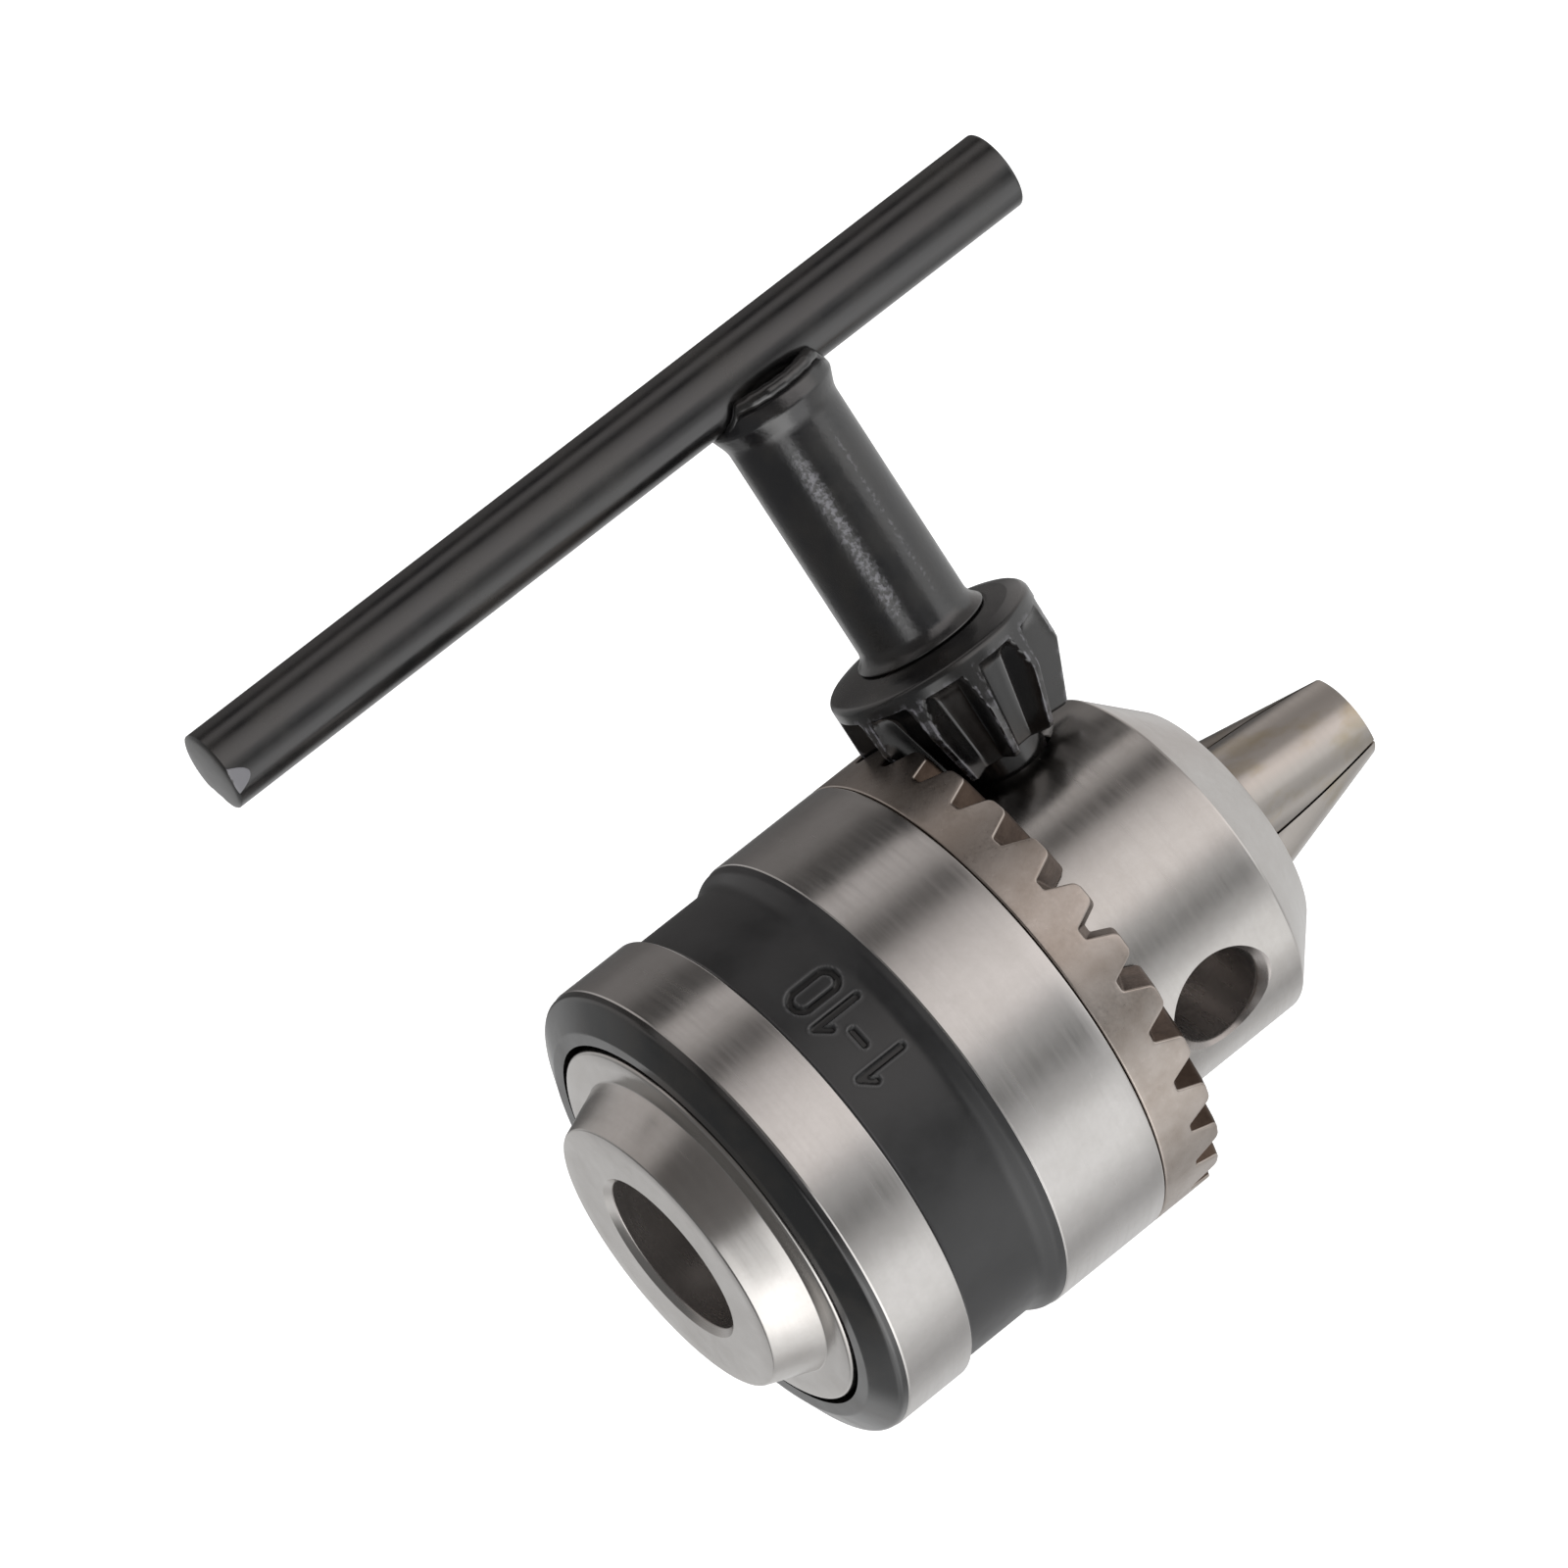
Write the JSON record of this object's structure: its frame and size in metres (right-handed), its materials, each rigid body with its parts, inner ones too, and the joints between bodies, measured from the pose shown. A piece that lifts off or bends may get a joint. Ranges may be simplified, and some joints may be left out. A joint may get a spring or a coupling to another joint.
{
  "type": "keyed drill chuck",
  "caption": "Keyed drill chuck with a toothed sleeve, sliding jaws and a T-handle bevel key seated in its nose.",
  "frame": {"origin": "centre of the back face, where the spindle enters", "axes": "+Z out of the back face towards the spindle, jaws towards -Z, +X along the key"},
  "size_m": [0.0617, 0.034, 0.0634],
  "materials": {
    "ground_steel": "fine ground",
    "sleeve_steel": "ground bands, black phosphate recess",
    "gear_steel": "machined, slightly tinted",
    "jaw_steel": "ground and hardened",
    "black_oxide": "gloss black oxide"
  },
  "bodies": {
    "body": {"chuck_body": "ground_steel"},
    "sleeve": {"sleeve": "sleeve_steel", "gear_ring": "gear_steel", "nut_half_a": "gear_steel", "nut_half_b": "gear_steel"},
    "jaw_1": {"jaw_1": "jaw_steel"},
    "jaw_2": {"jaw_2": "jaw_steel"},
    "jaw_3": {"jaw_3": "jaw_steel"},
    "key_pilot": {"key_pilot": "black_oxide"},
    "key": {"key_pinion": "black_oxide", "key_shank": "black_oxide", "key_handle_bar": "black_oxide", "key_weld_collar": "black_oxide"}
  },
  "joints": [
    {"name": "sleeve_turn", "type": "hinge", "parent": "body", "child": "sleeve", "pos_m": [0, 0, -0.02], "axis": [0, 0, -1], "range_deg": [0, 3360]},
    {"name": "jaw_1_slide", "type": "slide", "parent": "body", "child": "jaw_1", "axis": [0.1294, 0.2241, 0.9659], "range_m": [0, 0.01933]},
    {"name": "jaw_2_slide", "type": "slide", "parent": "body", "child": "jaw_2", "axis": [-0.2588, 0, 0.9659], "range_m": [0, 0.01933]},
    {"name": "jaw_3_slide", "type": "slide", "parent": "body", "child": "jaw_3", "axis": [0.1294, -0.2241, 0.9659], "range_m": [0, 0.01933]},
    {"name": "key_pull", "type": "slide", "parent": "body", "child": "key_pilot", "axis": [1, 0, 0], "range_m": [0, 0.03]},
    {"name": "key_turn", "type": "hinge", "parent": "key_pilot", "child": "key", "pos_m": [0.02, 0, -0.0358], "axis": [1, 0, 0], "range_deg": [0, 8248]}
  ],
  "couplings": [
    {"joint": "jaw_1_slide", "follows": "sleeve_turn", "m_per_rad": 0.00032954},
    {"joint": "jaw_2_slide", "follows": "sleeve_turn", "m_per_rad": 0.00032954},
    {"joint": "jaw_3_slide", "follows": "sleeve_turn", "m_per_rad": 0.00032954},
    {"joint": "key_turn", "follows": "sleeve_turn", "ratio": 2.4545}
  ]
}
